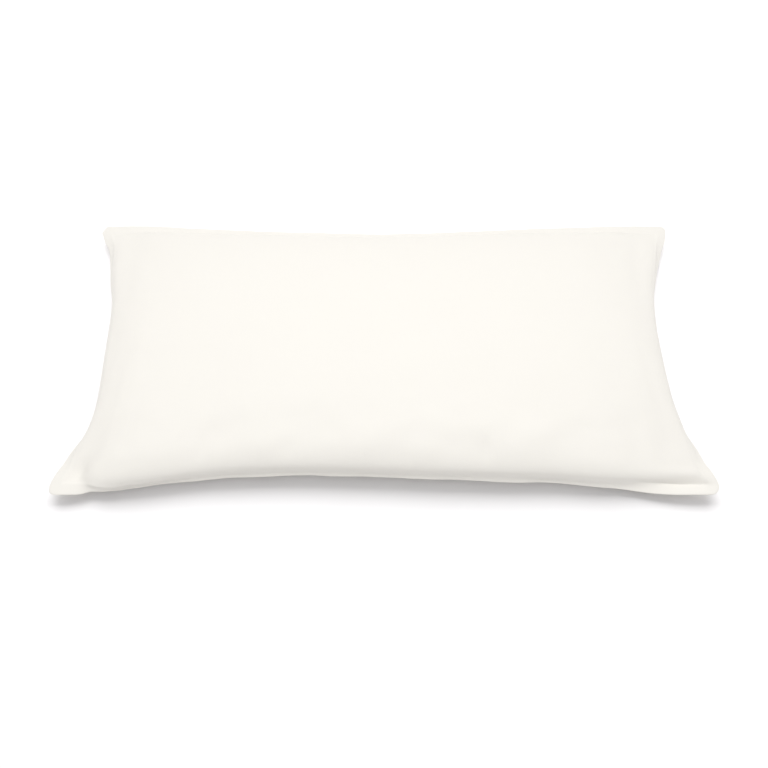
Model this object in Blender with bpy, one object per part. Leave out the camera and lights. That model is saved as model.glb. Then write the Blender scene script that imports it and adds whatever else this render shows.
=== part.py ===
"""A long filled pillowcase, lying on its back.

The case is two equal cloth panels sewn together all round, with a flat seam
edge outside the stitching. The filling swells the panels, so the sides are
drawn in between the corners and the corners stay out as flat, pointed ears.
The underside is flat where it rests on the surface.

Metres, +Z up, +X along the long side, -Y towards the near long side. The
origin is under the middle of the case, on the surface it lies on.
"""

import math

import bmesh
import bpy
from mathutils import Vector

# Driving dimensions: the case as it lies, filled, from ear tip to ear tip.
CASE_LENGTH = 0.800
CASE_WIDTH = 0.397
SEAM_EDGE = 0.0135           # flat edge outside the stitching
EDGE_THICKNESS = 0.0024      # two layers of cloth with the raw edges between
CROWN = 0.0320               # swelling of the upper panel above the seam lines
BELLY = 0.065                # swelling of the lower panel, before the surface stops it
CONTACT_BLEND = 0.004        # height over which the belly rolls onto the surface
PRESSED_FLAT = 0.0015        # cloth lower than this is pressed onto the surface
EAR_BLUNTING = 0.001         # how far the outermost corner point is rounded off

# How a panel swells from the seam to the middle, in each direction:
# (1 - |place| ** SPREAD) ** ROUNDNESS. A low roundness is steep at the seam.
SPREAD_ALONG = 5.7
SPREAD_ACROSS = 3.0
ROUNDNESS_ALONG = 0.52
ROUNDNESS_ACROSS = 0.70

# The mesh: cells along and across each panel, finer towards the seam.
CELLS_ALONG = 54
CELLS_ACROSS = 32
EDGE_CROWDING = 0.80

# The stitched seam along each side, from ear to ear. place runs from -1 to 1
# along the side, drawn_in is the distance from the straight line between the
# ears, height is above the surface, and droop is how many degrees the seam
# edge hangs down from level.
#    place  drawn_in  height  droop
NEAR_SIDE = (
    (-1.00, 0.0000, 0.0175, 4.0),
    (-0.92, 0.0006, 0.0185, 12.0),
    (-0.86, 0.0010, 0.0192, 46.0),
    (-0.78, 0.0028, 0.0200, 64.0),
    (-0.60, 0.0090, 0.0218, 74.0),
    (-0.47, 0.0142, 0.0226, 67.0),
    (-0.25, 0.0172, 0.0237, 64.0),
    (0.00, 0.0155, 0.0240, 60.0),
    (0.20, 0.0138, 0.0237, 50.0),
    (0.39, 0.0120, 0.0230, 50.0),
    (0.53, 0.0092, 0.0222, 61.0),
    (0.66, 0.0055, 0.0213, 56.0),
    (0.75, 0.0026, 0.0205, 48.0),
    (0.83, 0.0010, 0.0196, 30.0),
    (0.91, 0.0004, 0.0186, 12.0),
    (1.00, 0.0000, 0.0175, 2.0),
)
FAR_SIDE = (
    (-1.00, 0.0000, 0.0175, 4.0),
    (-0.86, 0.0004, 0.0192, 8.0),
    (-0.72, 0.0038, 0.0206, 14.0),
    (-0.50, 0.0090, 0.0224, 18.0),
    (-0.20, 0.0138, 0.0238, 20.0),
    (0.00, 0.0150, 0.0240, 20.0),
    (0.22, 0.0125, 0.0237, 20.0),
    (0.46, 0.0072, 0.0226, 18.0),
    (0.70, 0.0028, 0.0209, 14.0),
    (0.88, 0.0004, 0.0190, 8.0),
    (1.00, 0.0000, 0.0175, 4.0),
)
LEFT_SIDE = (
    (-1.00, 0.0000, 0.0175, 4.0),
    (-0.90, 0.0030, 0.0186, 12.0),
    (-0.80, 0.0088, 0.0195, 30.0),
    (-0.68, 0.0188, 0.0207, 54.0),
    (-0.56, 0.0258, 0.0217, 63.0),
    (-0.36, 0.0283, 0.0230, 68.0),
    (0.04, 0.0276, 0.0238, 68.0),
    (0.32, 0.0245, 0.0232, 68.0),
    (0.60, 0.0162, 0.0214, 60.0),
    (0.80, 0.0120, 0.0198, 42.0),
    (0.92, 0.0081, 0.0184, 16.0),
    (1.00, 0.0000, 0.0175, 4.0),
)
RIGHT_SIDE = (
    (-1.00, 0.0000, 0.0175, 2.0),
    (-0.88, 0.0071, 0.0188, 14.0),
    (-0.74, 0.0147, 0.0202, 40.0),
    (-0.58, 0.0212, 0.0215, 60.0),
    (-0.38, 0.0272, 0.0229, 68.0),
    (0.00, 0.0318, 0.0238, 68.0),
    (0.24, 0.0303, 0.0235, 68.0),
    (0.47, 0.0238, 0.0224, 66.0),
    (0.66, 0.0161, 0.0209, 56.0),
    (0.80, 0.0103, 0.0198, 40.0),
    (0.91, 0.0064, 0.0185, 16.0),
    (1.00, 0.0000, 0.0175, 4.0),
)

# Broad, soft dents in the upper panel. x and y are the middle of the dent,
# turn is the angle of its length from +X in degrees, depth is how deep it is.
#    x, y, turn, length, width, depth
SOFT_DENTS = (
    (0.330, 0.105, 80.0, 0.110, 0.030, 0.0030),
    (-0.325, 0.110, 95.0, 0.120, 0.028, 0.0020),
    (-0.345, -0.135, 50.0, 0.070, 0.030, 0.0025),
    (0.350, -0.130, -50.0, 0.070, 0.030, 0.0020),
    (0.250, -0.128, 10.0, 0.120, 0.026, 0.0012),
    (-0.120, -0.118, -8.0, 0.160, 0.026, 0.0010),
)

CLOTH_COLOUR = (0.86, 0.83, 0.775, 1.0)
CLOTH_ROUGHNESS = 0.9


def clear_scene():
    for old in list(bpy.data.objects):
        bpy.data.objects.remove(old, do_unlink=True)


def read_side(table, place):
    """Drawn-in distance, height and droop at a place, on a smooth curve."""
    last = len(table) - 1
    row = 0
    while row < last - 1 and place > table[row + 1][0]:
        row += 1
    before = table[max(row - 1, 0)]
    start = table[row]
    end = table[row + 1]
    after = table[min(row + 2, last)]
    span = end[0] - start[0]
    part = (place - start[0]) / span
    values = []
    for column in (1, 2, 3):
        slope_start = (end[column] - before[column]) / (end[0] - before[0]) * span
        slope_end = (after[column] - start[column]) / (after[0] - start[0]) * span
        rise = end[column] - start[column]
        bend = 3.0 * rise - 2.0 * slope_start - slope_end
        twist = slope_start + slope_end - 2.0 * rise
        values.append(start[column] + part * (slope_start + part * (bend + part * twist)))
    return values


def seam_point(side, place):
    """A point on the stitched seam of one side."""
    half_length = CASE_LENGTH / 2.0 - SEAM_EDGE
    half_width = CASE_WIDTH / 2.0 - SEAM_EDGE
    if side == "near":
        drawn_in, height, _ = read_side(NEAR_SIDE, place)
        return (place * half_length, -half_width + drawn_in, height)
    if side == "far":
        drawn_in, height, _ = read_side(FAR_SIDE, place)
        return (place * half_length, half_width - drawn_in, height)
    if side == "left":
        drawn_in, height, _ = read_side(LEFT_SIDE, place)
        return (-half_length + drawn_in, place * half_width, height)
    drawn_in, height, _ = read_side(RIGHT_SIDE, place)
    return (half_length - drawn_in, place * half_width, height)


def seam_droop(along, across):
    """How far the seam edge hangs from level, in radians, at a seam place."""
    if abs(across) == 1.0:
        table = FAR_SIDE if across > 0.0 else NEAR_SIDE
        return math.radians(read_side(table, along)[2])
    table = RIGHT_SIDE if along > 0.0 else LEFT_SIDE
    return math.radians(read_side(table, across)[2])


def seam_surface(along, across):
    """The surface stretched between the four seams (a Coons patch)."""
    s = (along + 1.0) / 2.0
    t = (across + 1.0) / 2.0
    near = seam_point("near", along)
    far = seam_point("far", along)
    left = seam_point("left", across)
    right = seam_point("right", across)
    near_left = seam_point("near", -1.0)
    near_right = seam_point("near", 1.0)
    far_left = seam_point("far", -1.0)
    far_right = seam_point("far", 1.0)
    point = []
    for axis in range(3):
        ruled_across = (1.0 - t) * near[axis] + t * far[axis]
        ruled_along = (1.0 - s) * left[axis] + s * right[axis]
        near_corners = (1.0 - s) * near_left[axis] + s * near_right[axis]
        far_corners = (1.0 - s) * far_left[axis] + s * far_right[axis]
        corners = (1.0 - t) * near_corners + t * far_corners
        point.append(ruled_across + ruled_along - corners)
    return point


def swell(along, across):
    """0 at the seam, 1 in the middle of the panel."""
    room_along = max(0.0, 1.0 - abs(along) ** SPREAD_ALONG)
    room_across = max(0.0, 1.0 - abs(across) ** SPREAD_ACROSS)
    return room_along ** ROUNDNESS_ALONG * room_across ** ROUNDNESS_ACROSS


def dent_depth(x, y):
    """How far the soft dents lower the upper panel here."""
    total = 0.0
    for middle_x, middle_y, turn, length, width, depth in SOFT_DENTS:
        angle = math.radians(turn)
        run = (x - middle_x) * math.cos(angle) + (y - middle_y) * math.sin(angle)
        off = (y - middle_y) * math.cos(angle) - (x - middle_x) * math.sin(angle)
        total += depth * math.exp(-((2.0 * run / length) ** 2) - (2.0 * off / width) ** 2)
    return total


def rest_on_surface(height):
    """Stop the belly at the surface, with a short roll onto it."""
    if height >= CONTACT_BLEND:
        return height
    rolled = max(0.0, height + CONTACT_BLEND) ** 2 / (4.0 * CONTACT_BLEND)
    return rolled if rolled > PRESSED_FLAT else 0.0


def upper_point(along, across):
    x, y, seam = seam_surface(along, across)
    full = swell(along, across)
    height = seam + EDGE_THICKNESS / 2.0 + CROWN * full
    return (x, y, height - dent_depth(x, y) * min(1.0, 3.0 * full))


def lower_point(along, across):
    x, y, seam = seam_surface(along, across)
    full = swell(along, across)
    return (x, y, rest_on_surface(seam - EDGE_THICKNESS / 2.0 - BELLY * full))


def places(cells):
    """Grid places from -1 to 1, crowded towards both ends."""
    reach = EDGE_CROWDING * math.pi / 2.0
    row = []
    for step in range(cells + 1):
        row.append(math.sin(reach * (2.0 * step / cells - 1.0)) / math.sin(reach))
    row[0] = -1.0
    row[cells] = 1.0
    return row


def outline_steps():
    """Grid indices once round the panel, counter-clockwise from above."""
    steps = [(i, 0) for i in range(CELLS_ALONG)]
    steps += [(CELLS_ALONG, j) for j in range(CELLS_ACROSS)]
    steps += [(i, CELLS_ACROSS) for i in range(CELLS_ALONG, 0, -1)]
    steps += [(0, j) for j in range(CELLS_ACROSS, 0, -1)]
    return steps


def add_panel(mesh, along, across, point_at, facing_up):
    """One swollen panel as a grid of quads; returns its vertices by index."""
    grid = {}
    for i, u in enumerate(along):
        for j, v in enumerate(across):
            grid[i, j] = mesh.verts.new(point_at(u, v))
    for i in range(CELLS_ALONG):
        for j in range(CELLS_ACROSS):
            corners = [grid[i, j], grid[i + 1, j], grid[i + 1, j + 1], grid[i, j + 1]]
            if not facing_up:
                corners.reverse()
            mesh.faces.new(corners)
    return grid


def straight_out(before, here, after):
    """Level direction out from the seam, mitred where two sides meet."""
    out = Vector((0.0, 0.0, 0.0))
    for start, end in ((before, here), (here, after)):
        step = (end - start).normalized()
        out += Vector((step.y, -step.x, 0.0))
    square_corner = out.length < 1.8
    return out if square_corner else out.normalized()


def add_seam_edge(mesh, along, across, upper, lower):
    """The drooping edge that joins the two panels all round."""
    steps = outline_steps()
    seam = [Vector(seam_surface(along[i], across[j])) for i, j in steps]
    level = [Vector((point.x, point.y, 0.0)) for point in seam]
    rim_top = []
    rim_bottom = []
    for here, (i, j) in enumerate(steps):
        out = straight_out(level[here - 1], level[here], level[(here + 1) % len(steps)])
        droop = seam_droop(along[i], across[j])
        rim = seam[here] + SEAM_EDGE * math.cos(droop) * out
        rim.z -= SEAM_EDGE * math.sin(droop)
        if abs(along[i]) == 1.0 and abs(across[j]) == 1.0:
            rim.x -= math.copysign(EAR_BLUNTING, rim.x)
            rim.y -= math.copysign(EAR_BLUNTING, rim.y)
        square = EDGE_THICKNESS / 2.0 * math.cos(droop)
        rim_top.append(mesh.verts.new((rim.x, rim.y, rim.z + square)))
        rim_bottom.append(mesh.verts.new((rim.x, rim.y, rim.z - square)))
    for here in range(len(steps)):
        there = (here + 1) % len(steps)
        up_here = upper[steps[here]]
        up_there = upper[steps[there]]
        low_here = lower[steps[here]]
        low_there = lower[steps[there]]
        mesh.faces.new((up_there, up_here, rim_top[here], rim_top[there]))
        mesh.faces.new((rim_top[there], rim_top[here], rim_bottom[here], rim_bottom[there]))
        mesh.faces.new((rim_bottom[there], rim_bottom[here], low_here, low_there))


def centre_on_origin(mesh):
    """Put the middle of the case's box over the origin."""
    xs = [vert.co.x for vert in mesh.verts]
    ys = [vert.co.y for vert in mesh.verts]
    bmesh.ops.translate(
        mesh,
        verts=mesh.verts,
        vec=(-(min(xs) + max(xs)) / 2.0, -(min(ys) + max(ys)) / 2.0, 0.0),
    )


def cotton():
    material = bpy.data.materials.new("ivory_cotton")
    material.use_nodes = True
    shader = material.node_tree.nodes["Principled BSDF"]
    shader.inputs["Base Color"].default_value = CLOTH_COLOUR
    shader.inputs["Roughness"].default_value = CLOTH_ROUGHNESS
    shader.inputs["Metallic"].default_value = 0.0
    return material


def make_pillowcase():
    along = places(CELLS_ALONG)
    across = places(CELLS_ACROSS)
    mesh = bmesh.new()
    upper = add_panel(mesh, along, across, upper_point, facing_up=True)
    lower = add_panel(mesh, along, across, lower_point, facing_up=False)
    add_seam_edge(mesh, along, across, upper, lower)
    centre_on_origin(mesh)
    bmesh.ops.triangulate(mesh, faces=mesh.faces)
    data = bpy.data.meshes.new("pillowcase")
    mesh.to_mesh(data)
    mesh.free()
    data.materials.append(cotton())
    data.shade_smooth()
    pillowcase = bpy.data.objects.new("pillowcase", data)
    bpy.context.scene.collection.objects.link(pillowcase)
    return pillowcase


clear_scene()
make_pillowcase()
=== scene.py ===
"""The looks of a long filled pillowcase, lying on its back on a pale surface.

Two flat panels are sewn together round their edge, with a flat seam edge
outside the stitching. The filling is a pressure that holds a set volume. The
cloth settles on the surface in a simulation. The settled panels are calmed,
moved onto the measured outline and built as one closed skin, with a drooping
seam edge of real thickness and small gathers at the stitching.

Metres, +Z up, +X along the long side, -Y towards the near long side.
"""

import math

import bpy
import numpy as np
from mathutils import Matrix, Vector, noise


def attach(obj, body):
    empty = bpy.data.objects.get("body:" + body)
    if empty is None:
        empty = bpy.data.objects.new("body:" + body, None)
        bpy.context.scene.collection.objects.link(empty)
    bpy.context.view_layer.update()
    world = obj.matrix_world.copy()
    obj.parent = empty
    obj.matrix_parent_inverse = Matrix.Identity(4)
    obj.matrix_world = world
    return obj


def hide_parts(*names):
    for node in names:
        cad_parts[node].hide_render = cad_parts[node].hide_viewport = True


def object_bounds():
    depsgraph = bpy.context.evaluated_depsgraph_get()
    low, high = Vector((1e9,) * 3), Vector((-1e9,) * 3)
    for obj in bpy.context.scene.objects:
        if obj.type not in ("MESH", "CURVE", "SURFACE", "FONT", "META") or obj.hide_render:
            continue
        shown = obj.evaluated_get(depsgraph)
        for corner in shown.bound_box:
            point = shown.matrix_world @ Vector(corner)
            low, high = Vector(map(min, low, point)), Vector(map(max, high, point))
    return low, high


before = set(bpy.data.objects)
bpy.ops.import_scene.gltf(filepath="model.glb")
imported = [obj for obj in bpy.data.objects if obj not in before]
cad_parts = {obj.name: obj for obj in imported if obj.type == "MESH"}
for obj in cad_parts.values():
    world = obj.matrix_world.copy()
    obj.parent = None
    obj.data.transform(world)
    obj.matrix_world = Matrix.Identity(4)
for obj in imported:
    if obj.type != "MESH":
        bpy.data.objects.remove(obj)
cad_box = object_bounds()

# The case as it was cut and sewn, laid flat.
CASE_LENGTH = 0.800
CASE_WIDTH = 0.400
SEAM_EDGE = 0.0135           # flat edge outside the stitching
BODY_LENGTH = CASE_LENGTH - 2.0 * SEAM_EDGE
BODY_WIDTH = CASE_WIDTH - 2.0 * SEAM_EDGE

# The filling.
FILLED_VOLUME = 0.0120       # cubic metres that the filling wants to hold
FILLING_PUSH = 190.0

# The two rounds of the simulation: size of a cloth cell, and frames to settle.
COARSE_CELL = 0.010
COARSE_FRAMES = 36
FINE_CELL = 0.0060
FINE_FRAMES = 16
CONTACT_GAP = 0.0030         # the simulated cloth hovers this much over the surface
CROWN_SPREAD = 0.10          # how much lower the crown lies than the simulation has it
CORNER_FAN = 0.012           # how far from a corner the seam edge still leans into it
CORNER_FAN_STEPS = 11        # how many steps of the outline on each side can lean

# How the calmed panel swells over its seam: the height in the middle, and for
# its ends and its sides one power for a flat top and one for a steep edge.
SWELL_HEIGHT = 0.045
SWELL_TO_ENDS = (5.7, 0.52)
SWELL_TO_SIDES = (3.2, 0.67)

# Ironing the panel: how many times its folds are blurred, how many times more
# towards the ends, from where on and how soon that counts, and how much. The
# last is the share of the sharp folds that stays.
FOLD_BLURS = 6
END_BLURS = 24
END_BLUR_START = 0.55
END_BLUR_FADE = 0.30
END_BLUR_SHARE = 0.85
FOLDS_KEPT = 0.25

# Points of the CAD this close to the outermost one are on its rim.
RIM_BAND = 0.0003

# A point of the lower panel this high, or higher, moves along with the seam.
FULLY_LIFTED = 0.02

# The seam edge across its width, from stitching to rim: place, half thickness,
# and how many degrees steeper it hangs there than the edge as a whole.
SEAM_PROFILE = (
    (0.00, 0.00080, 30.0),
    (0.12, 0.00105, 27.0),
    (0.36, 0.00125, 13.0),
    (0.62, 0.00120, -4.0),
    (0.82, 0.00110, -22.0),
    (0.94, 0.00085, -45.0),
)
RIM_CURL = -60.0
FULL_CURL_DROOP = 60.0       # the droop in degrees at which the curl is as listed

# How far the lower panel keeps from the seam edge that hangs beside it, how soon
# it bends in for that, and how many of its rows it reaches.
EDGE_CLEARANCE = 0.0020
EDGE_BEND = 0.004
ROWS_BESIDE_EDGE = 5

# How many degrees the seam edge hangs below level along each side, from ear
# to ear. place runs from -1 to 1.
NEAR_DROOP = (
    (-1.00, 4.0), (-0.955, 5.0), (-0.925, 14.0), (-0.89, 62.0), (-0.85, 80.0), (-0.78, 84.0),
    (-0.68, 81.0), (-0.60, 76.0), (-0.47, 71.0), (-0.25, 71.0), (0.00, 71.0), (0.20, 69.0),
    (0.39, 70.0), (0.53, 74.0), (0.66, 70.0), (0.75, 52.0), (0.83, 20.0), (0.91, -6.0),
    (1.00, -8.0),
)
FAR_DROOP = ((-1.0, 4.0), (-0.72, 14.0), (-0.2, 20.0), (0.22, 20.0), (0.7, 14.0), (1.0, 4.0))
LEFT_DROOP = (
    (-1.00, 4.0), (-0.89, 12.0), (-0.80, 30.0), (-0.68, 54.0), (-0.36, 68.0),
    (0.32, 68.0), (0.60, 60.0), (0.80, 42.0), (0.92, 16.0), (1.00, 4.0),
)
RIGHT_DROOP = (
    (-1.00, 2.0), (-0.87, 14.0), (-0.74, 40.0), (-0.58, 60.0), (-0.38, 68.0),
    (0.47, 66.0), (0.66, 56.0), (0.80, 40.0), (0.91, 16.0), (1.00, 4.0),
)

# How far each short side is drawn in beside its near ear: y of the middle,
# reach and depth.
LEFT_EAR_DRAW = (-0.157, 0.018, 0.0045)
RIGHT_EAR_DRAW = (-0.161, 0.014, 0.0046)

# How deep a valley the stitching pulls, from none to all, along each side.
NEAR_VALLEY = ((-1.0, 0.0), (-0.91, 0.0), (-0.85, 1.0), (0.9, 1.0), (1.0, 0.6))
FAR_VALLEY = ((-1.0, 0.0), (0.3, 0.1), (0.6, 0.5), (0.85, 0.5), (1.0, 0.0))
SHORT_SIDE_VALLEY = ((-1.0, 0.1), (1.0, 0.1))

# Soft dents (and, with a minus, soft ridges) in the upper panel: x and y of
# the middle, turn of its length from +X in degrees, length, width and depth.
SOFT_DENTS = (
    (0.345, 0.105, 84.0, 0.110, 0.030, 0.0022),
    (-0.345, 0.110, 96.0, 0.120, 0.028, 0.0016),
    (-0.365, -0.172, 66.0, 0.030, 0.019, 0.0064),
    (-0.348, -0.186, 38.0, 0.040, 0.008, 0.0016),
    (0.358, -0.183, 0.0, 0.086, 0.008, 0.0050),
    (0.350, -0.1745, 1.0, 0.100, 0.012, -0.0034),
    (0.240, -0.132, 12.0, 0.120, 0.026, 0.0010),
    (-0.120, -0.122, -8.0, 0.160, 0.026, 0.0008),
    (0.119, -0.152, 82.0, 0.034, 0.009, 0.0020),
    (0.134, -0.155, 96.0, 0.026, 0.008, -0.0016),
    (-0.215, -0.150, 74.0, 0.040, 0.014, 0.0018),
    (-0.330, -0.060, 82.0, 0.120, 0.016, 0.0008),
    (0.335, -0.075, 100.0, 0.130, 0.016, 0.0009),
)

# The panel rolls over steeply into the stitching of both long sides, and the
# near slope is fuller as a whole: how much the panel stands up for each of
# these, how soon, and how far up the slope that fades out.
NEAR_ROLL = (0.0064, 0.0070, 0.036)
NEAR_FULLNESS = (0.0096, 0.0220, 0.100)
FAR_ROLL = (0.0030, 0.0072, 0.040)

# The near roll starts this far from the left end and comes in over this length.
# The other two come in over one length from both ends.
LEFT_EAR_BARE = 0.015
LEFT_EAR_FADE = 0.03
EARS_FADE = 0.06

# Low lumps of the filling: their size, their height, and how much higher they
# are on the near slope.
LUMPS = ((0.060, 0.0007, 0.0028), (0.026, 0.0003, 0.0012))
NEAR_SLOPE_Y = -0.145        # where the near slope has its middle
NEAR_SLOPE_WIDTH = 0.035

# Small puckers beside the stitching: the size and share of two kinds, their
# height, and how far into the panel they reach.
PUCKERS = ((0.014, 1.0), (0.030, 0.6))
PUCKER_HEIGHT = 0.0009
PUCKER_REACH = 0.011

# How far from the seam the puckers, the dents and the lumps are at full depth.
PUCKER_START = 0.004
DENT_START = 0.006
LUMP_START = 0.03

# How many times the panels' move onto the outline is eased, so that a turn in
# the seam edge stays beside the seam.
MOVE_EASING = 40

# At each ear the filling doesn't reach the corner, and the panel lies flatter.
EAR_FLATNESS = 0.62
EAR_REACH = 0.065

# The seam edge hangs a little unevenly: the size and share of two waves along
# it, and how many degrees they turn it.
DROOP_WAVES = ((0.055, 1.0), (0.024, 0.5))
DROOP_WAVE_TURN = 7.0

SEAM_ROW_PLACE = 0.34        # where in its first cell a panel has one more row
STITCH_SHARPNESS = 0.75      # how crisp the valley stays when the skin is subdivided

IVORY = (0.86, 0.835, 0.785)
THREAD_PITCH = 0.0009        # from thread to thread of the plain weave

PALE_FLOOR = (0.90, 0.89, 0.897, 1.0)
FLOOR_GAP = 0.0003           # just under the cloth, so that the two don't share a plane
FLOOR_HALF = 4.0

# The two soft lamps, both aimed at the case: place, width, depth and energy.
CASE_LAMP = ((0.0, 0.12, 1.70), 2.0, 1.0, 18.1)
FLOOR_LAMP = ((0.0, 0.92, 1.38), 2.4, 1.2, 38.0)

# The room's light: its level, and how much stronger it is overhead and on the
# far side of the case.
ROOM_LEVEL = 0.44
ROOM_OVERHEAD = 0.30
ROOM_BEHIND_CASE = 0.05

LENS = 34.85
SENSOR = 36.0
CAMERA_ELEVATION = math.radians(63.88)
CAMERA_DISTANCE = 0.9725
CAMERA_TARGET = Vector((0.0, -0.0401, -0.0065))


# ---------------------------------------------------------------- the cut

def outline_steps(cells_x, cells_y):
    """Grid places once round a panel, counter-clockwise from above."""
    steps = [(i, 0) for i in range(cells_x)]
    steps += [(cells_x, j) for j in range(cells_y)]
    steps += [(i, cells_y) for i in range(cells_x, 0, -1)]
    steps += [(0, j) for j in range(cells_y, 0, -1)]
    return steps


def along_outline(grid):
    """A grid's values once round its outline."""
    steps = outline_steps(grid.shape[0] - 1, grid.shape[1] - 1)
    return np.array([grid[step] for step in steps])


def corner_steps(shape):
    """Where the four corners come in the outline of a grid of this shape."""
    nx, ny = shape[0] - 1, shape[1] - 1
    return [0, nx, nx + ny, 2 * nx + ny]


def outward(grid):
    """Level directions straight out from a grid's outline, mitred at corners."""
    seam = along_outline(grid)
    ahead = np.roll(seam, -1, axis=0) - seam
    behind = seam - np.roll(seam, 1, axis=0)

    def level_normal(step):
        normal = np.stack([step[:, 1], -step[:, 0], np.zeros(len(step))], -1)
        return normal / np.linalg.norm(normal, axis=1, keepdims=True)

    out = level_normal(ahead + behind)
    mitred = level_normal(ahead) + level_normal(behind)
    along = level_normal(ahead + behind)[:, [1, 0, 2]] * (-1.0, 1.0, 0.0)
    step_length = np.linalg.norm(ahead, axis=1)
    walked = np.concatenate([[0.0], np.cumsum(step_length)])
    for corner in corner_steps(grid.shape):
        out[corner] = mitred[corner]
        # Near a corner the edge fans out towards the corner's point.
        for way in (-1, 1):
            for count in range(1, CORNER_FAN_STEPS + 1):
                step = (corner + way * count) % len(seam)
                away = abs(walked[corner] - walked[step])
                away = min(away, walked[-1] - away)
                out[step] -= way * along[step] * math.exp(-away / CORNER_FAN)
    return out


def leaning(out, droop):
    """The outward directions, turned down by droop radians."""
    droop = np.asarray(droop)[:, None]
    down = np.zeros_like(out)
    down[:, 2] = -1.0
    return out * np.cos(droop) + down * np.sin(droop)


class Cut:
    """The two flat panels and the seam edge, as one net of cloth cells."""

    def __init__(self, cell):
        self.cells_x = int(round(BODY_LENGTH / cell))
        self.cells_y = int(round(BODY_WIDTH / cell))
        self.x = np.linspace(-BODY_LENGTH / 2.0, BODY_LENGTH / 2.0, self.cells_x + 1)
        self.y = np.linspace(-BODY_WIDTH / 2.0, BODY_WIDTH / 2.0, self.cells_y + 1)
        self.edge_rows = max(1, int(round(SEAM_EDGE / cell)))
        shape = (self.cells_x + 1, self.cells_y + 1)
        self.top = np.arange(shape[0] * shape[1]).reshape(shape)
        self.bottom = self.top.copy()
        inner = (shape[0] - 2) * (shape[1] - 2)
        self.bottom[1:-1, 1:-1] = self.top.size + np.arange(inner).reshape(shape[0] - 2, -1)
        self.body_count = self.top.size + inner
        self.rings = [along_outline(self.top)]
        around = len(self.rings[0])
        for row in range(self.edge_rows):
            start = self.body_count + row * around
            self.rings.append(np.arange(start, start + around))
        self.count = self.body_count + self.edge_rows * around

    def faces(self):
        """Quads of the upper panel, the lower panel and the seam edge."""
        up = self.top
        low = self.bottom
        quads = [
            np.stack([up[:-1, :-1], up[1:, :-1], up[1:, 1:], up[:-1, 1:]], -1).reshape(-1, 4),
            np.stack([low[:-1, :-1], low[:-1, 1:], low[1:, 1:], low[1:, :-1]], -1).reshape(-1, 4),
        ]
        for inner, outer in zip(self.rings[:-1], self.rings[1:]):
            quads.append(np.stack([inner, outer, np.roll(outer, -1), np.roll(inner, -1)], -1))
        return np.concatenate(quads)

    def gather(self, top, bottom):
        """One array of points from the two panels' grids, with a level seam edge."""
        points = np.zeros((self.count, 3))
        points[self.bottom.ravel()] = bottom.reshape(-1, 3)
        points[self.top.ravel()] = top.reshape(-1, 3)
        seam = along_outline(top)
        out = outward(top)
        for row, ring in enumerate(self.rings[1:], start=1):
            points[ring] = seam + SEAM_EDGE * row / self.edge_rows * out
        return points

    def plan(self):
        """The flat panel's grid of points, before anything fills it."""
        x, y = np.meshgrid(self.x, self.y, indexing="ij")
        return np.stack([x, y, np.zeros_like(x)], -1)


# -------------------------------------------------------- filling the case

def pre_filled(cut):
    """A rough filled shape to start from: drawn-in sides and a crown."""
    ends_in, sides_in = 0.035, 0.014
    seam_low, seam_rise = 0.02, 0.01
    crown = 0.05
    least_height = 0.0015
    x, y = np.meshgrid(cut.x, cut.y, indexing="ij")
    u = x / (BODY_LENGTH / 2.0)
    v = y / (BODY_WIDTH / 2.0)
    plan_x = x * (1.0 - ends_in / (BODY_LENGTH / 2.0) * (1.0 - v * v))
    plan_y = y * (1.0 - sides_in / (BODY_WIDTH / 2.0) * (1.0 - np.abs(u) ** 3))
    fullness = ((1.0 - np.abs(u) ** 3) * (1.0 - np.abs(v) ** 2.4)) ** 0.6
    seam_height = seam_low + seam_rise * (1.0 - u * u) * (1.0 - v * v)
    seam_height[:, [0, -1]] = seam_low + seam_rise * (1.0 - u * u)[:, [0, -1]]
    seam_height[[0, -1], :] = seam_low + seam_rise * (1.0 - v * v)[[0, -1], :]
    high = seam_height + crown * fullness
    low = np.maximum(least_height, seam_height * (1.0 - 1.3 * fullness ** 0.7))
    top = np.stack([plan_x, plan_y, high], -1)
    bottom = np.stack([plan_x, plan_y, low], -1)
    return cut.gather(top, bottom)


def temporary(name, points, faces):
    mesh = bpy.data.meshes.new(name)
    mesh.from_pydata(points.tolist(), [], faces.tolist())
    mesh.update()
    piece = bpy.data.objects.new(name, mesh)
    bpy.context.scene.collection.objects.link(piece)
    return piece


def discard(piece):
    mesh = piece.data
    bpy.data.objects.remove(piece, do_unlink=True)
    bpy.data.meshes.remove(mesh)


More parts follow.
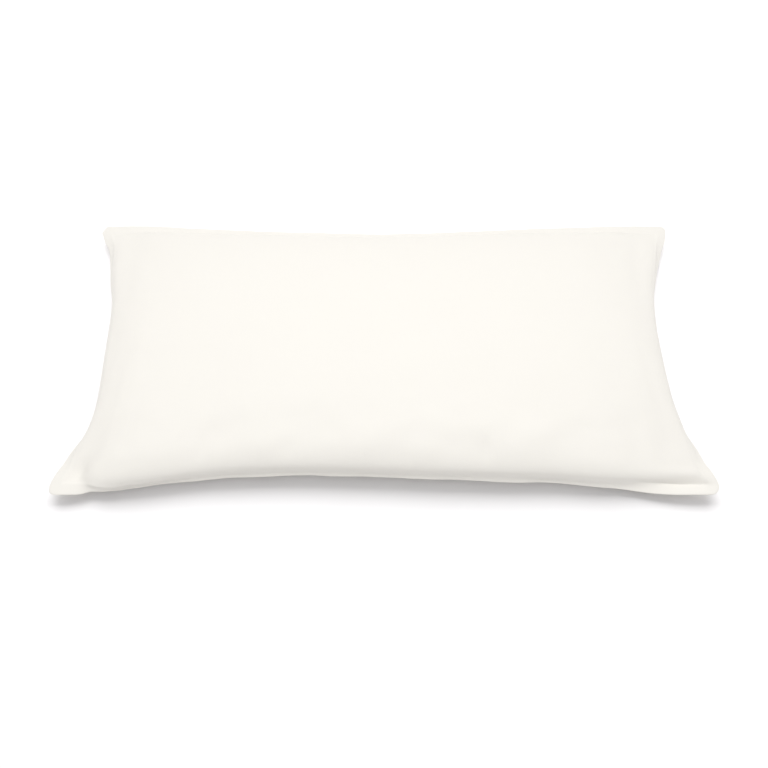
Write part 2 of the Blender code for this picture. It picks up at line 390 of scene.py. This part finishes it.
def settle(cut, start, cell, frames):
    """Let the filled cloth come to rest on the surface; returns its points."""
    cloth = temporary("settling_case", start, cut.faces())
    cloth.shape_key_add(name="Basis")
    cut_shape = cloth.shape_key_add(name="cut")
    flat = cut.gather(cut.plan(), cut.plan())
    cut_shape.data.foreach_set("co", flat.astype(np.float32).ravel())
    cut_shape.value = 0.0
    filled = cloth.vertex_groups.new(name="filled")
    filled.add(list(range(cut.body_count)), 1.0, "REPLACE")
    half = 1.0               # of the surface's width
    corners = np.array([(-half, -half, 0), (half, -half, 0), (half, half, 0), (-half, half, 0)])
    surface = temporary("settling_surface", corners, np.array([(0, 1, 2, 3)]))
    surface.modifiers.new("Collision", "COLLISION")
    surface.collision.thickness_outer = 0.001
    surface.collision.cloth_friction = 5.0
    surface.collision.damping = 1.0

    # Weight goes with a cell's area and stiffness with its width, so that
    # both rounds have the same cloth.
    scale = cell / COARSE_CELL
    modifier = cloth.modifiers.new("Cloth", "CLOTH")
    weave = modifier.settings
    weave.quality = 10
    weave.mass = 0.04 * scale ** 2
    weave.tension_stiffness = 40.0 * scale
    weave.compression_stiffness = 20.0 * scale
    weave.shear_stiffness = 10.0 * scale
    weave.bending_stiffness = 0.05 * scale ** 1.5
    weave.tension_damping = 5.0
    weave.compression_damping = 5.0
    weave.shear_damping = 5.0
    weave.bending_damping = 0.5
    weave.use_pressure = True
    weave.uniform_pressure_force = 0.0
    weave.vertex_group_pressure = "filled"
    weave.use_pressure_volume = True
    weave.target_volume = FILLED_VOLUME
    weave.pressure_factor = FILLING_PUSH
    weave.rest_shape_key = cut_shape
    modifier.collision_settings.distance_min = 0.001
    modifier.collision_settings.use_self_collision = False
    modifier.point_cache.frame_start = 1
    modifier.point_cache.frame_end = frames
    for number in range(1, frames + 1):
        bpy.context.scene.frame_set(number)
    evaluated = cloth.evaluated_get(bpy.context.evaluated_depsgraph_get())
    rested = np.zeros(cut.count * 3, np.float32)
    evaluated.data.vertices.foreach_get("co", rested)
    discard(cloth)
    discard(surface)
    bpy.context.scene.frame_set(1)
    return rested.reshape(-1, 3).astype(float)


def spline_rows(old_count, new_count):
    """Weights that read a row of points at new, evenly spaced places."""
    weights = np.zeros((new_count + 1, old_count + 1))
    for row, place in enumerate(np.linspace(0.0, old_count, new_count + 1)):
        cell = min(int(place), old_count - 1)
        t = place - cell
        spread = (
            (cell - 1, -0.5 * t + t * t - 0.5 * t ** 3),
            (cell, 1.0 - 2.5 * t * t + 1.5 * t ** 3),
            (cell + 1, 0.5 * t + 2.0 * t * t - 1.5 * t ** 3),
            (cell + 2, -0.5 * t * t + 0.5 * t ** 3),
        )
        for column, share in spread:
            if column < 0:
                weights[row, 0] += 2.0 * share
                weights[row, 1] -= share
            elif column > old_count:
                weights[row, old_count] += 2.0 * share
                weights[row, old_count - 1] -= share
            else:
                weights[row, column] += share
    return weights


def refined(coarse, points, fine):
    """The coarse net's settled points, read on the fine net."""
    along = spline_rows(coarse.cells_x, fine.cells_x)
    across = spline_rows(coarse.cells_y, fine.cells_y)
    top = np.einsum("ai,ijc,bj->abc", along, points[coarse.top], across)
    bottom = np.einsum("ai,ijc,bj->abc", along, points[coarse.bottom], across)
    bottom[[0, -1]] = top[[0, -1]]
    bottom[:, [0, -1]] = top[:, [0, -1]]
    return fine.gather(top, bottom)


def filled_case():
    """The settled upper and lower panels, as grids of points, and their cut."""
    coarse = Cut(COARSE_CELL)
    points = pre_filled(coarse)
    points = settle(coarse, points, COARSE_CELL, COARSE_FRAMES)
    fine = Cut(FINE_CELL)
    points = settle(fine, refined(coarse, points, fine), FINE_CELL, FINE_FRAMES)
    top, bottom = points[fine.top], points[fine.bottom]
    top[..., 2] -= CONTACT_GAP
    bottom[..., 2] = np.maximum(bottom[..., 2] - CONTACT_GAP, 0.0)
    return fine, top, bottom


# ------------------------------------------------ onto the measured outline

def stretched_between(near, far, left, right):
    """Values stretched over the whole grid from its four sides (a Coons patch)."""
    s = np.linspace(0.0, 1.0, len(near))[:, None, None]
    t = np.linspace(0.0, 1.0, len(left))[None, :, None]
    ruled = (1 - t) * near[:, None] + t * far[:, None]
    ruled = ruled + (1 - s) * left[None] + s * right[None]
    ruled = ruled - (1 - t) * ((1 - s) * near[0] + s * near[-1])
    return ruled - t * ((1 - s) * far[0] + s * far[-1])


def sides_of(grid):
    return grid[:, 0], grid[:, -1], grid[0], grid[-1]


def swell(cut):
    """0 at the seam, 1 in the middle of the panel."""
    a = np.abs(cut.x / (BODY_LENGTH / 2.0))[:, None]
    b = np.abs(cut.y / (BODY_WIDTH / 2.0))[None, :]
    flat_x, steep_x = SWELL_TO_ENDS
    flat_y, steep_y = SWELL_TO_SIDES
    return (1.0 - a ** flat_x) ** steep_x * (1.0 - b ** flat_y) ** steep_y


def blurred(values, passes, axis):
    """Blurred along one axis, leaving the grid's outline as it is."""
    for _ in range(passes):
        ahead = np.roll(values, -1, axis)
        behind = np.roll(values, 1, axis)
        softer = (ahead + 2.0 * values + behind) / 4.0
        softer[[0, -1]] = values[[0, -1]]
        softer[:, [0, -1]] = values[:, [0, -1]]
        values = softer
    return values


def calmed(cut, grid):
    """Iron the folds out of a panel, but keep how it swells over its seam.

    The weight of the filling also spreads the crown, so its top is flatter."""
    seam = stretched_between(*sides_of(grid))
    above = grid[..., 2] - seam[..., 2]
    grid = grid.copy()
    grid[..., 2] = seam[..., 2] + above * (1.0 - CROWN_SPREAD * above / above.max())
    smooth = seam.copy()
    smooth[..., 2] += SWELL_HEIGHT * (1.0 - CROWN_SPREAD) * swell(cut)
    folds = grid - smooth
    along = np.abs(cut.x / (BODY_LENGTH / 2.0))
    near_ends = np.clip((along - END_BLUR_START) / END_BLUR_FADE, 0.0, 1.0)
    soft = blurred(blurred(folds, FOLD_BLURS, 0), FOLD_BLURS, 1)
    softest = blurred(soft, END_BLURS, 1)
    share = END_BLUR_SHARE * near_ends[:, None, None]
    calm = soft * (1.0 - share) + softest * share
    panel = smooth + calm * (1.0 - FOLDS_KEPT) + folds * FOLDS_KEPT
    to_end = BODY_LENGTH / 2.0 - np.abs(cut.x)[:, None]
    to_side = BODY_WIDTH / 2.0 - np.abs(cut.y)[None, :]
    at_ear = np.exp(-(to_end ** 2 + to_side ** 2) / EAR_REACH ** 2)
    panel[..., 2] -= (panel[..., 2] - seam[..., 2]) * EAR_FLATNESS * at_ear
    return panel


def cad_rim(node, axis, places):
    """The CAD outline at places along one axis: (low side, high side), each
    with its distance on the other axis and its height."""
    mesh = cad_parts[node].data
    points = np.zeros(len(mesh.vertices) * 3, np.float32)
    mesh.vertices.foreach_get("co", points)
    points = points.reshape(-1, 3).astype(float)
    ends = np.zeros(len(mesh.edges) * 2, np.int32)
    mesh.edges.foreach_get("vertices", ends)
    start, end = points[ends.reshape(-1, 2)].transpose(1, 0, 2)
    other = 1 - axis
    low, high = [], []
    for place in places:
        before = start[:, axis] - place
        after = end[:, axis] - place
        crossed = (before * after <= 0.0) & (before != after)
        share = (before[crossed] / (before[crossed] - after[crossed]))[:, None]
        hits = start[crossed] * (1.0 - share) + end[crossed] * share
        for side, extreme in ((low, hits[:, other].min()), (high, hits[:, other].max())):
            rim = np.abs(hits[:, other] - extreme) < RIM_BAND
            side.append((extreme, hits[rim, 2].mean()))
    return np.array(low), np.array(high)


def stitching_inside(rim, places, droop, inward):
    """The stitched seam that belongs to a rim: distance and height."""
    slope = np.gradient(rim[:, 0], places)
    level = SEAM_EDGE * np.cos(droop) * np.sqrt(1.0 + slope * slope)
    return rim[:, 0] + inward * level, rim[:, 1] + SEAM_EDGE * np.sin(droop)


def drawn_in(y, middle, reach, depth):
    """How far a short side is drawn in at places along it."""
    return depth * np.exp(-((y - middle) / reach) ** 2)


def onto_outline(cut, top, bottom):
    """Move the settled panels so that their seam follows the CAD's outline."""
    low, high = cad_box
    seam_x = (high[0] - low[0]) / 2.0 - SEAM_EDGE
    seam_y = (high[1] - low[1]) / 2.0 - SEAM_EDGE
    a = cut.x / (BODY_LENGTH / 2.0)
    b = cut.y / (BODY_WIDTH / 2.0)
    droops = [np.radians(read_table(NEAR_DROOP, a)), np.radians(read_table(FAR_DROOP, a)),
              np.radians(read_table(LEFT_DROOP, b)), np.radians(read_table(RIGHT_DROOP, b))]
    near_rim, far_rim = cad_rim("pillowcase", 0, a * seam_x)
    left_rim, right_rim = cad_rim("pillowcase", 1, b * seam_y)
    left_rim[:, 0] += drawn_in(b * seam_y, *LEFT_EAR_DRAW)
    right_rim[:, 0] -= drawn_in(b * seam_y, *RIGHT_EAR_DRAW)
    near_y, near_z = stitching_inside(near_rim, a * seam_x, droops[0], 1.0)
    far_y, far_z = stitching_inside(far_rim, a * seam_x, droops[1], -1.0)
    left_x, left_z = stitching_inside(left_rim, b * seam_y, droops[2], 1.0)
    right_x, right_z = stitching_inside(right_rim, b * seam_y, droops[3], -1.0)
    near = np.stack([a * seam_x, near_y, near_z], -1)
    far = np.stack([a * seam_x, far_y, far_z], -1)
    left = np.stack([left_x, b * seam_y, left_z], -1)
    right = np.stack([right_x, b * seam_y, right_z], -1)
    for side, end, other, place in ((near, 0, left, 0), (near, -1, right, 0),
                                    (far, 0, left, -1), (far, -1, right, -1)):
        corner = (math.copysign(seam_x, side[end, 0]), math.copysign(seam_y, side[end, 1]),
                  (side[end, 2] + other[place, 2]) / 2.0)
        side[end] = corner
        other[place] = corner
    now = sides_of(top)
    move = stretched_between(near - now[0], far - now[1], left - now[2], right - now[3])
    for _ in range(MOVE_EASING):
        move = blurred(blurred(move, 1, 0), 1, 1)
    # What rests on the surface stays on it.
    lifted = np.clip(bottom[..., 2:] / FULLY_LIFTED, 0.0, 1.0)
    low_move = move.copy()
    low_move[..., 2:] *= lifted * lifted * (3.0 - 2.0 * lifted)
    low_move[[0, -1]] = move[[0, -1]]
    low_move[:, [0, -1]] = move[:, [0, -1]]
    return top + move, bottom + low_move


def read_table(table, place):
    """A value from a short table, on a smooth curve through its rows."""
    rows = np.array(table)
    place = np.asarray(place, float)
    cell = np.clip(np.searchsorted(rows[:, 0], place) - 1, 0, len(rows) - 2)
    slopes = np.gradient(rows[:, 1], rows[:, 0])
    span = rows[cell + 1, 0] - rows[cell, 0]
    t = (place - rows[cell, 0]) / span
    rise = rows[cell + 1, 1] - rows[cell, 1]
    start = slopes[cell] * span
    end = slopes[cell + 1] * span
    bend = 3.0 * rise - 2.0 * start - end
    twist = start + end - 2.0 * rise
    return rows[cell, 1] + t * (start + t * (bend + t * twist))


# ---------------------------------------------------------- soft unevenness

def noise_at(points, size, seed):
    """Smooth noise between about -1 and 1, with bumps of about this size."""
    shift = Vector((seed * 7.3, seed * 3.1, seed * 5.7))
    return np.array([noise.noise(Vector(point) / size + shift) for point in points])


def dent_depth(x, y):
    """How deep the soft dents are, all together, at places on the panel."""
    total = np.zeros_like(x)
    for middle_x, middle_y, turn, length, width, depth in SOFT_DENTS:
        angle = math.radians(turn)
        run = (x - middle_x) * math.cos(angle) + (y - middle_y) * math.sin(angle)
        off = (y - middle_y) * math.cos(angle) - (x - middle_x) * math.sin(angle)
        total += depth * np.exp(-((2.0 * run / length) ** 2) - (2.0 * off / width) ** 2)
    return total


def rolled(from_seam, height, start, fade):
    """How far the panel stands up at a distance from the stitching."""
    return height * (1.0 - np.exp(-from_seam / start)) * np.exp(-from_seam / fade)


def uneven(cut, top):
    """Lay soft dents, low filling lumps and small seam puckers on the panel."""
    shape = top.shape[:2]
    plan = cut.plan()
    flat = plan.reshape(-1, 3)
    near_slope = np.exp(-((flat[:, 1] - NEAR_SLOPE_Y) / NEAR_SLOPE_WIDTH) ** 2)
    lumps = np.zeros(len(flat))
    for seed, (size, low, more) in enumerate(LUMPS, start=1):
        lumps += (low + more * near_slope) * noise_at(flat, size, seed)
    to_side = BODY_WIDTH / 2.0 - np.abs(plan[..., 1])
    to_end = BODY_LENGTH / 2.0 - np.abs(plan[..., 0])
    from_seam = np.minimum(to_side, to_end)
    on_long_side = to_side < to_end
    seam_place = np.where(on_long_side, plan[..., 0], plan[..., 1] + 2.0).ravel()
    seam_side = np.where(on_long_side, np.sign(plan[..., 1]), 3.0 * np.sign(plan[..., 0])).ravel()
    seam_points = np.stack([seam_place, seam_side, np.zeros(len(seam_place))], -1)
    pucker = np.zeros(len(flat))
    for seed, (size, share) in enumerate(PUCKERS, start=3):
        pucker += share * noise_at(seam_points, size, seed)
    inward = from_seam.ravel()
    near_seam = np.exp(-inward / PUCKER_REACH) * np.clip(inward / PUCKER_START, 0.0, 1.0)
    height = lumps * np.clip(inward / LUMP_START, 0.0, 1.0) + PUCKER_HEIGHT * pucker * near_seam
    height = height.reshape(shape)
    to_near = plan[..., 1] + BODY_WIDTH / 2.0
    to_left = plan[..., 0] + BODY_LENGTH / 2.0
    from_left_ear = np.clip((to_left - LEFT_EAR_BARE) / LEFT_EAR_FADE, 0.0, 1.0)
    from_ears = np.clip(to_end / EARS_FADE, 0.0, 1.0)
    height += rolled(to_near, *NEAR_ROLL) * from_left_ear
    height += rolled(to_near, *NEAR_FULLNESS) * from_ears
    height += rolled(BODY_WIDTH - to_near, *FAR_ROLL) * from_ears
    height -= dent_depth(top[..., 0], top[..., 1]) * np.clip(from_seam / DENT_START, 0.0, 1.0)
    across = np.gradient(top, axis=0), np.gradient(top, axis=1)
    normal = np.cross(across[0], across[1])
    normal /= np.linalg.norm(normal, axis=2, keepdims=True)
    return top + normal * height[..., None]


# ---------------------------------------------------------- the sewn skin

def round_outline(shape, near, far, left, right):
    """The values of four side tables at each step round the outline."""
    a = np.linspace(-1.0, 1.0, shape[0])
    b = np.linspace(-1.0, 1.0, shape[1])
    values = np.zeros(shape)
    values[0] = read_table(left, b)
    values[-1] = read_table(right, b)
    values[:, 0] = read_table(near, a)
    values[:, -1] = read_table(far, a)
    return along_outline(values)


def droop_round(shape):
    """How far the seam edge hangs at each step round the outline, in radians."""
    return np.radians(round_outline(shape, NEAR_DROOP, FAR_DROOP, LEFT_DROOP, RIGHT_DROOP))


def valley_round(shape):
    """How deep the stitched valley is at each step round the outline, up to 1."""
    valley = round_outline(shape, NEAR_VALLEY, FAR_VALLEY, SHORT_SIDE_VALLEY, SHORT_SIDE_VALLEY)
    return np.clip(valley, 0.0, 1.0)


def with_seam_rows(grid, share):
    """The grid with one more row a short way inside each seam."""
    for _ in range(2):
        first = grid[:1] * (1.0 - share) + grid[1:2] * share
        last = grid[-1:] * (1.0 - share) + grid[-2:-1] * share
        grid = np.concatenate([grid[:1], first, grid[1:-1], last, grid[-1:]])
        grid = grid.transpose(1, 0, 2)
    return grid


def clear_of_edge(bottom, steps, seam, out, inner_skin):
    """Move the lower panel's outer rows in, clear of the edge hanging beside them."""
    bottom = bottom.copy()
    last_x, last_y = bottom.shape[0] - 1, bottom.shape[1] - 1
    for count, (i, j) in enumerate(steps):
        in_x = int(i == 0) - int(i == last_x)
        in_y = int(j == 0) - int(j == last_y)
        level_out = out[count] / np.linalg.norm(out[count])
        hang = inner_skin[:, count] - seam[count]
        depth = np.maximum.accumulate(-hang[:, 2])
        reach = np.minimum.accumulate(hang @ level_out)
        for row in range(1, ROWS_BESIDE_EDGE + 1):
            at = (i + in_x * row, j + in_y * row)
            off = bottom[at] - seam[count]
            if 0.0 < -off[2] < depth[-1]:
                room = np.interp(EDGE_BEND - off[2], depth, reach) - EDGE_CLEARANCE
                bottom[at] -= max(0.0, off @ level_out - room) * level_out
    return bottom


def sewn_skin(cut, top, bottom):
    """One closed skin: upper panel, seam edge, lower panel."""
    top = with_seam_rows(top, SEAM_ROW_PLACE)
    bottom = with_seam_rows(bottom, SEAM_ROW_PLACE)
    plan = with_seam_rows(cut.plan(), SEAM_ROW_PLACE)
    shape = top.shape[:2]
    steps = outline_steps(shape[0] - 1, shape[1] - 1)
    seam = along_outline(top)
    seam_cut = along_outline(plan)
    droop = droop_round(shape)
    wave = np.zeros(len(seam))
    for seed, (size, share) in enumerate(DROOP_WAVES, start=5):
        wave += share * noise_at(seam, size, seed)
    droop = droop + math.radians(DROOP_WAVE_TURN) * wave * np.sin(droop)
    out = outward(top)
    out_cut = outward(plan)
    # Radians of curl for each degree in the profile: more where it hangs more.
    curl = np.radians(1.0) * droop / math.radians(FULL_CURL_DROOP)

    points, cut_at = [], []

    def keep(rows, rows_cut):
        start = sum(len(block) for block in points)
        points.append(rows.reshape(-1, 3))
        cut_at.append(rows_cut.reshape(-1, 3)[:, :2])
        return np.arange(start, start + len(rows.reshape(-1, 3)))

    def square_to(angle):
        up = leaning(out, angle - math.pi / 2.0)
        return up / np.linalg.norm(up, axis=1, keepdims=True)

    valley = valley_round(shape)[:, None]
    unpinched = SEAM_PROFILE[1][1]
    pinch = (unpinched + (SEAM_PROFILE[0][1] - unpinched) * valley) * square_to(droop)
    top = top.copy()
    bottom = bottom.copy()
    for step, up in zip(steps, pinch):
        top[step] = top[step] + up
        bottom[step] = bottom[step] - up
    edge = []
    middle = seam.copy()
    last_place, last_steeper = SEAM_PROFILE[0][0], SEAM_PROFILE[0][2]
    for place, half, steeper in SEAM_PROFILE[1:]:
        lean = droop + curl * (steeper + last_steeper) / 2.0
        middle = middle + SEAM_EDGE * (place - last_place) * leaning(out, lean)
        where = seam_cut + SEAM_EDGE * place * out_cut
        up = half * square_to(droop + curl * steeper)
        edge.append((middle + up, middle - up, where))
        last_place, last_steeper = place, steeper
    lean = droop + curl * (RIM_CURL + last_steeper) / 2.0
    rim_points = middle + SEAM_EDGE * (1.0 - last_place) * leaning(out, lean)

    inner_skin = np.array([below for _, below, _ in edge] + [rim_points])
    bottom = clear_of_edge(bottom, steps, seam, out, inner_skin)
    top_at = keep(top, plan).reshape(shape)
    bottom_at = keep(bottom, plan).reshape(shape)
    top_rings = [along_outline(top_at)]
    bottom_rings = [along_outline(bottom_at)]
    for above, below, where in edge:
        top_rings.append(keep(above, where))
        bottom_rings.append(keep(below, where))
    rim = keep(rim_points, seam_cut + SEAM_EDGE * out_cut)
    top_rings.append(rim)
    bottom_rings.append(rim)

    def grid_faces(at):
        return np.stack([at[:-1, :-1], at[1:, :-1], at[1:, 1:], at[:-1, 1:]], -1).reshape(-1, 4)

    def ring_faces(rings):
        pairs = zip(rings[:-1], rings[1:])
        return np.concatenate([np.stack([np.roll(b, -1), np.roll(a, -1), a, b], -1)
                               for a, b in pairs])

    upper = np.concatenate([grid_faces(top_at), ring_faces(top_rings)])
    lower = np.concatenate([grid_faces(bottom_at), ring_faces(bottom_rings)])[:, ::-1]
    faces = np.concatenate([upper, lower])
    mesh = bpy.data.meshes.new("filled_case")
    mesh.from_pydata(np.concatenate(points).tolist(), [], faces.tolist())
    # The cut as a pattern: the upper panel, and the lower one mirrored beyond it.
    cut_at = np.concatenate(cut_at)
    layer = mesh.uv_layers.new(name="cut")
    flat_x, flat_y = cut_at[faces.ravel()].T
    lower_side = np.repeat(np.arange(len(faces)) >= len(upper), 4)
    uv = np.stack([flat_x + 0.5, np.where(lower_side, 1.5 - flat_y, flat_y + 0.5)], -1)
    layer.uv.foreach_set("vector", uv.astype(np.float32).ravel())
    mesh.validate()
    mesh.update()

    # Keep the stitched valley crisp.
    stitched = np.zeros(len(mesh.vertices))
    stitched[top_rings[0]] = valley[:, 0]
    stitched[bottom_rings[0]] = valley[:, 0]
    ends = np.zeros(len(mesh.edges) * 2, np.int32)
    mesh.edges.foreach_get("vertices", ends)
    crease = mesh.attributes.new("crease_edge", "FLOAT", "EDGE")
    sharpness = STITCH_SHARPNESS * stitched[ends.reshape(-1, 2)].min(axis=1)
    crease.data.foreach_set("value", sharpness.astype(np.float32))
    mesh.shade_smooth()
    piece = bpy.data.objects.new("filled_case", mesh)
    bpy.context.scene.collection.objects.link(piece)
    return piece


def subdivided(piece):
    """Replace a piece's mesh with the same mesh subdivided once."""
    modifier = piece.modifiers.new("Subdivision", "SUBSURF")
    modifier.levels = 1
    modifier.render_levels = 1
    evaluated = piece.evaluated_get(bpy.context.evaluated_depsgraph_get())
    finer = bpy.data.meshes.new_from_object(evaluated)
    piece.modifiers.clear()
    coarse = piece.data
    piece.data = finer
    bpy.data.meshes.remove(coarse)
    finer.name = "filled_case"
    finer.shade_smooth()


# ------------------------------------------------------------- materials

def add_node(tree, kind, **settings):
    node = tree.nodes.new(kind)
    for name, value in settings.items():
        setattr(node, name, value)
    return node


def math_node(tree, operation, *values):
    node = add_node(tree, "ShaderNodeMath", operation=operation)
    for socket, value in zip(node.inputs, values):
        if isinstance(value, (int, float)):
            socket.default_value = value
        else:
            tree.links.new(value, socket)
    return node.outputs[0]


def threads(tree, cloth_place, pitch, way):
    """A row of threads along one direction of the cut, as a height from 0 to 1."""
    turned = math_node(tree, "MULTIPLY", cloth_place.outputs[way], 2.0 * math.pi / pitch)
    wave = math_node(tree, "SINE", turned)
    return math_node(tree, "MULTIPLY_ADD", wave, 0.5, 0.5)


def cloth_noise(tree, uv, stretch, scale, detail):
    """Noise over the flat cloth, drawn out along one of its threads."""
    drawn_out = add_node(tree, "ShaderNodeMapping")
    drawn_out.inputs["Scale"].default_value = stretch
    tree.links.new(uv, drawn_out.inputs["Vector"])
    grain = add_node(tree, "ShaderNodeTexNoise")
    grain.inputs["Scale"].default_value = scale
    grain.inputs["Detail"].default_value = detail
    tree.links.new(drawn_out.outputs["Vector"], grain.inputs["Vector"])
    return grain.outputs["Fac"]


def cotton():
    """Ivory plain-woven cotton: two rows of threads, slubs and a soft unevenness."""
    material = bpy.data.materials.new("ivory_cotton")
    material.use_nodes = True
    tree = material.node_tree
    shader = tree.nodes["Principled BSDF"]
    shader.inputs["Specular IOR Level"].default_value = 0.25
    shader.inputs["Sheen Weight"].default_value = 0.12
    shader.inputs["Sheen Roughness"].default_value = 0.5

    uv = add_node(tree, "ShaderNodeUVMap", uv_map="cut").outputs["UV"]
    place = add_node(tree, "ShaderNodeSeparateXYZ")
    tree.links.new(uv, place.inputs[0])
    warp = threads(tree, place, THREAD_PITCH, "X")
    weft = threads(tree, place, THREAD_PITCH, "Y")
    even = (1.0, 1.0, 1.0)
    long_slubs = cloth_noise(tree, uv, stretch=(1.0, 14.0, 1.0), scale=55.0, detail=2.0)
    cross_slubs = cloth_noise(tree, uv, stretch=(14.0, 1.0, 1.0), scale=55.0, detail=2.0)
    slubs = math_node(tree, "ADD", long_slubs, cross_slubs)
    fibres = cloth_noise(tree, uv, stretch=even, scale=900.0, detail=3.0)
    blotches = cloth_noise(tree, uv, stretch=even, scale=14.0, detail=3.0)

    # Colour: painted shade in the gaps between the threads, and a little darker in the soft
    # blotches.
    darkest = 0.975
    painted_gap_shade, by_slubs, by_blotches = 0.012, 0.016, 0.014
    weave = math_node(tree, "MULTIPLY", warp, weft)
    # The weave term paints shade into the low gaps between the threads.
    shade = math_node(tree, "MULTIPLY_ADD", weave, painted_gap_shade, darkest)
    shade = math_node(tree, "MULTIPLY_ADD", slubs, by_slubs, shade)
    shade = math_node(tree, "MULTIPLY_ADD", blotches, by_blotches, shade)
    colour = add_node(tree, "ShaderNodeVectorMath", operation="SCALE")
    colour.inputs[0].default_value = IVORY
    tree.links.new(shade, colour.inputs["Scale"])
    tree.links.new(colour.outputs[0], shader.inputs["Base Color"])

    smoothest, by_fibres = 0.82, 0.12
    roughness = math_node(tree, "MULTIPLY_ADD", fibres, by_fibres, smoothest)
    tree.links.new(roughness, shader.inputs["Roughness"])

    # Relief: the threads, the thicker slubs in them and loose fibres on top.
    of_weave, of_slubs, of_fibres = 0.5, 0.8, 0.4
    relief = math_node(tree, "MULTIPLY", weave, of_weave)
    relief = math_node(tree, "MULTIPLY_ADD", slubs, of_slubs, relief)
    relief = math_node(tree, "MULTIPLY_ADD", fibres, of_fibres, relief)
    bump = add_node(tree, "ShaderNodeBump")
    bump.inputs["Strength"].default_value = 0.35
    bump.inputs["Distance"].default_value = 0.00012
    tree.links.new(relief, bump.inputs["Height"])
    tree.links.new(bump.outputs["Normal"], shader.inputs["Normal"])
    return material


# ----------------------------------------------------------------- stage

def add_floor():
    mesh = bpy.data.meshes.new("stage_floor")
    half, low = FLOOR_HALF, -FLOOR_GAP
    mesh.from_pydata([(-half, -half, low), (half, -half, low), (half, half, low),
                      (-half, half, low)], [], [(0, 1, 2, 3)])
    floor = bpy.data.objects.new("stage_floor", mesh)
    bpy.context.scene.collection.objects.link(floor)
    material = bpy.data.materials.new("pale_floor")
    material.use_nodes = True
    shader = material.node_tree.nodes["Principled BSDF"]
    shader.inputs["Base Color"].default_value = PALE_FLOOR
    shader.inputs["Roughness"].default_value = 0.9
    shader.inputs["Specular IOR Level"].default_value = 0.1
    mesh.materials.append(material)
    return floor


def add_softbox(name, place, width, depth, energy, lit):
    """A large soft lamp, aimed at the case, that lights one object."""
    lamp = bpy.data.lights.new(name, "AREA")
    lamp.shape = "RECTANGLE"
    lamp.size = width
    lamp.size_y = depth
    lamp.energy = energy
    softbox = bpy.data.objects.new(name, lamp)
    bpy.context.scene.collection.objects.link(softbox)
    softbox.location = place
    aim = -Vector(place)
    softbox.rotation_euler = aim.to_track_quat("-Z", "Y").to_euler()
    receivers = bpy.data.collections.new(name + "_lights")
    receivers.objects.link(lit)
    softbox.light_linking.receiver_collection = receivers


def add_room_light():
    """Soft light from all round: brightest overhead, dimmest behind the viewer."""
    world = bpy.data.worlds.new("studio")
    bpy.context.scene.world = world
    world.use_nodes = True
    tree = world.node_tree
    way = add_node(tree, "ShaderNodeSeparateXYZ")
    tree.links.new(add_node(tree, "ShaderNodeTexCoord").outputs["Generated"], way.inputs[0])
    higher = math_node(tree, "MULTIPLY_ADD", way.outputs["Z"], ROOM_OVERHEAD, ROOM_LEVEL)
    strength = math_node(tree, "MULTIPLY_ADD", way.outputs["Y"], ROOM_BEHIND_CASE, higher)
    background = tree.nodes["Background"]
    background.inputs["Color"].default_value = (1.0, 1.0, 1.0, 1.0)
    tree.links.new(strength, background.inputs["Strength"])


def add_camera():
    """The camera, at the photograph's viewing angle."""
    lens = bpy.data.cameras.new("camera")
    lens.lens = LENS
    lens.sensor_width = SENSOR
    camera = bpy.data.objects.new("camera", lens)
    bpy.context.scene.collection.objects.link(camera)
    back = Vector((0.0, -math.cos(CAMERA_ELEVATION), math.sin(CAMERA_ELEVATION)))
    camera.location = CAMERA_TARGET + CAMERA_DISTANCE * back
    camera.rotation_euler = (math.pi / 2.0 - CAMERA_ELEVATION, 0.0, 0.0)
    bpy.context.scene.camera = camera


# ------------------------------------------------------------------ making

add_camera()
add_room_light()
floor = add_floor()
bpy.context.scene.view_settings.view_transform = "Standard"

case_cut, upper, lower = filled_case()
upper = calmed(case_cut, upper)
upper, lower = onto_outline(case_cut, upper, lower)
upper = uneven(case_cut, upper)
case = sewn_skin(case_cut, upper, lower)
subdivided(case)
case.data.materials.clear()
case.data.materials.append(cotton())
add_softbox("overhead", *CASE_LAMP, case)
add_softbox("behind", *FLOOR_LAMP, floor)
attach(case, "root")
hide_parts("pillowcase")
